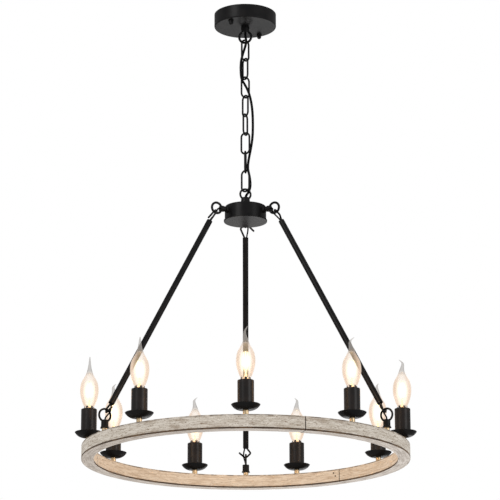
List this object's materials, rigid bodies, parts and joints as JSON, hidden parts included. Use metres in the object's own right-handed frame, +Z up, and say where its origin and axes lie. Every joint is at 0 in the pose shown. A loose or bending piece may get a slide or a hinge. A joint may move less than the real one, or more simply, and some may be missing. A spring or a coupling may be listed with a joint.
{
  "type": "wagon-wheel chandelier",
  "caption": "Round ceiling chandelier: wood ring of candle lamps with flame bulbs, hung by slanted rods from a hub on a chain with a woven power cord and a round canopy.",
  "frame": {"origin": "middle of the round face that meets the ceiling, in the plane of the canopy's rim", "axes": "+Z up into the ceiling; -Y towards the pictured near side, with a candle straight ahead; +X to the picture's right"},
  "size_m": [0.6606, 0.657, 0.927],
  "materials": {
    "black_metal": "satin",
    "zinc_steel": "zinc plated",
    "ground_brass": "green dyed",
    "whitewashed_wood": "whitewashed, dark grain showing through",
    "black_cord": "smooth sheath",
    "cream_spacer": "cream",
    "connector_plastic": "moulded",
    "socket_plastic": "phenolic",
    "bulb_glass": "clear"
  },
  "bodies": {
    "canopy": {"canopy_cover": "black_metal", "crossbar": "zinc_steel", "crossbar_studs": "zinc_steel", "cap_nuts": "black_metal", "canopy_loop": "black_metal", "canopy_loop_nut": "zinc_steel", "ground_screw": "ground_brass", "canopy_wire_connectors": "connector_plastic", "power_cord": "black_cord"},
    "link_1": {"chain_link_1": "black_metal"},
    "link_2": {"chain_link_2": "black_metal"},
    "link_3": {"chain_link_3": "black_metal"},
    "link_4": {"chain_link_4": "black_metal"},
    "link_5": {"chain_link_5": "black_metal"},
    "link_6": {"chain_link_6": "black_metal"},
    "link_7": {"chain_link_7": "black_metal"},
    "link_8": {"chain_link_8": "black_metal"},
    "hub": {"hub_shell": "black_metal", "hub_cover": "black_metal", "hub_top_loop": "black_metal", "hub_top_loop_nut": "zinc_steel", "hub_arm_loop_1": "black_metal", "hub_arm_loop_2": "black_metal", "hub_arm_loop_3": "black_metal", "hub_arm_nuts": "black_metal", "hub_wire_connectors": "connector_plastic"},
    "ring": {"ring_segment_1": "whitewashed_wood", "ring_segment_2": "whitewashed_wood", "ring_segment_3": "whitewashed_wood", "ring_bottom_strips": "whitewashed_wood", "ring_splice_plates": "zinc_steel", "ring_splice_screws": "zinc_steel", "ring_loops": "black_metal", "ring_loop_nuts": "zinc_steel", "ring_loop_spacers": "cream_spacer", "ring_wiring": "black_cord", "candle_spacers": "cream_spacer", "drip_cups": "black_metal", "candle_sleeves": "black_metal", "lamp_sockets": "socket_plastic", "candle_nipples": "zinc_steel", "candle_nuts": "zinc_steel"},
    "rod_1": {"rod_tube_1": "black_metal", "rod_hooks_1": "black_metal", "feed_wire_1": "black_cord"},
    "rod_2": {"rod_tube_2": "black_metal", "rod_hooks_2": "black_metal", "feed_wire_2": "black_cord"},
    "rod_3": {"rod_tube_3": "black_metal", "rod_hooks_3": "black_metal", "feed_wire_3": "black_cord"},
    "bulb_1": {"bulb_1": "bulb_glass"},
    "bulb_2": {"bulb_2": "bulb_glass"},
    "bulb_3": {"bulb_3": "bulb_glass"},
    "bulb_4": {"bulb_4": "bulb_glass"},
    "bulb_5": {"bulb_5": "bulb_glass"},
    "bulb_6": {"bulb_6": "bulb_glass"},
    "bulb_7": {"bulb_7": "bulb_glass"},
    "bulb_8": {"bulb_8": "bulb_glass"},
    "bulb_9": {"bulb_9": "bulb_glass"}
  },
  "joints": [
    {"name": "link_1_swing", "type": "hinge", "parent": "canopy", "child": "link_1", "pos_m": [0, 0, -0.06045], "axis": [0.9848, -0.1736, 0], "range_deg": [-8, 8], "deforming": ["power_cord"]},
    {"name": "link_2_swing", "type": "hinge", "parent": "link_1", "child": "link_2", "pos_m": [0, 0, -0.09935], "axis": [0.788, 0.6157, 0], "range_deg": [-8, 8]},
    {"name": "link_3_swing", "type": "hinge", "parent": "link_2", "child": "link_3", "pos_m": [0, 0, -0.13915], "axis": [0.5446, -0.8387, 0], "range_deg": [-8, 8]},
    {"name": "link_4_swing", "type": "hinge", "parent": "link_3", "child": "link_4", "pos_m": [0, 0, -0.17895], "axis": [0.866, 0.5, 0], "range_deg": [-8, 8]},
    {"name": "link_5_swing", "type": "hinge", "parent": "link_4", "child": "link_5", "pos_m": [0, 0, -0.21875], "axis": [0.6018, -0.7986, 0], "range_deg": [-8, 8]},
    {"name": "link_6_swing", "type": "hinge", "parent": "link_5", "child": "link_6", "pos_m": [0, 0, -0.25855], "axis": [0.454, 0.891, 0], "range_deg": [-8, 8]},
    {"name": "link_7_swing", "type": "hinge", "parent": "link_6", "child": "link_7", "pos_m": [0, 0, -0.29835], "axis": [0.9135, -0.4067, 0], "range_deg": [-8, 8]},
    {"name": "link_8_swing", "type": "hinge", "parent": "link_7", "child": "link_8", "pos_m": [0, 0, -0.33815], "axis": [0.1045, 0.9945, 0], "range_deg": [-8, 8]},
    {"name": "hub_swing", "type": "hinge", "parent": "link_8", "child": "hub", "pos_m": [0, 0, -0.37795], "axis": [0.8387, -0.5446, 0], "range_deg": [-8, 8]},
    {"name": "ring_twist", "type": "hinge", "parent": "hub", "child": "ring", "pos_m": [0, 0, -0.8675], "axis": [0, 0, 1], "range_deg": [-6, 6], "stiffness_Nm_per_rad": 1.5, "deforming": ["feed_wire_1", "feed_wire_2", "feed_wire_3"]},
    {"name": "rod_1_swing", "type": "hinge", "parent": "hub", "child": "rod_1", "pos_m": [0.06162, -0.03558, -0.43149], "axis": [0.761, -0.4394, 0.4773], "range_deg": [-3.8, 3.8], "deforming": ["feed_wire_1"]},
    {"name": "rod_2_swing", "type": "hinge", "parent": "hub", "child": "rod_2", "pos_m": [0, 0.07115, -0.43149], "axis": [0, 0.8787, 0.4773], "range_deg": [-3.8, 3.8], "deforming": ["feed_wire_2"]},
    {"name": "rod_3_swing", "type": "hinge", "parent": "hub", "child": "rod_3", "pos_m": [-0.06162, -0.03558, -0.43149], "axis": [-0.761, -0.4394, 0.4773], "range_deg": [-3.8, 3.8], "deforming": ["feed_wire_3"]},
    {"name": "bulb_1_lift", "type": "slide", "parent": "ring", "child": "bulb_1", "axis": [0, 0, 1], "range_m": [0, 0.045]},
    {"name": "bulb_2_lift", "type": "slide", "parent": "ring", "child": "bulb_2", "axis": [0, 0, 1], "range_m": [0, 0.045]},
    {"name": "bulb_3_lift", "type": "slide", "parent": "ring", "child": "bulb_3", "axis": [0, 0, 1], "range_m": [0, 0.045]},
    {"name": "bulb_4_lift", "type": "slide", "parent": "ring", "child": "bulb_4", "axis": [0, 0, 1], "range_m": [0, 0.045]},
    {"name": "bulb_5_lift", "type": "slide", "parent": "ring", "child": "bulb_5", "axis": [0, 0, 1], "range_m": [0, 0.045]},
    {"name": "bulb_6_lift", "type": "slide", "parent": "ring", "child": "bulb_6", "axis": [0, 0, 1], "range_m": [0, 0.045]},
    {"name": "bulb_7_lift", "type": "slide", "parent": "ring", "child": "bulb_7", "axis": [0, 0, 1], "range_m": [0, 0.045]},
    {"name": "bulb_8_lift", "type": "slide", "parent": "ring", "child": "bulb_8", "axis": [0, 0, 1], "range_m": [0, 0.045]},
    {"name": "bulb_9_lift", "type": "slide", "parent": "ring", "child": "bulb_9", "axis": [0, 0, 1], "range_m": [0, 0.045]}
  ],
  "couplings": [
    {"joint": "rod_1_swing", "follows": "ring_twist", "ratio": 0.6243},
    {"joint": "rod_2_swing", "follows": "ring_twist", "ratio": 0.6243},
    {"joint": "rod_3_swing", "follows": "ring_twist", "ratio": 0.6243}
  ]
}
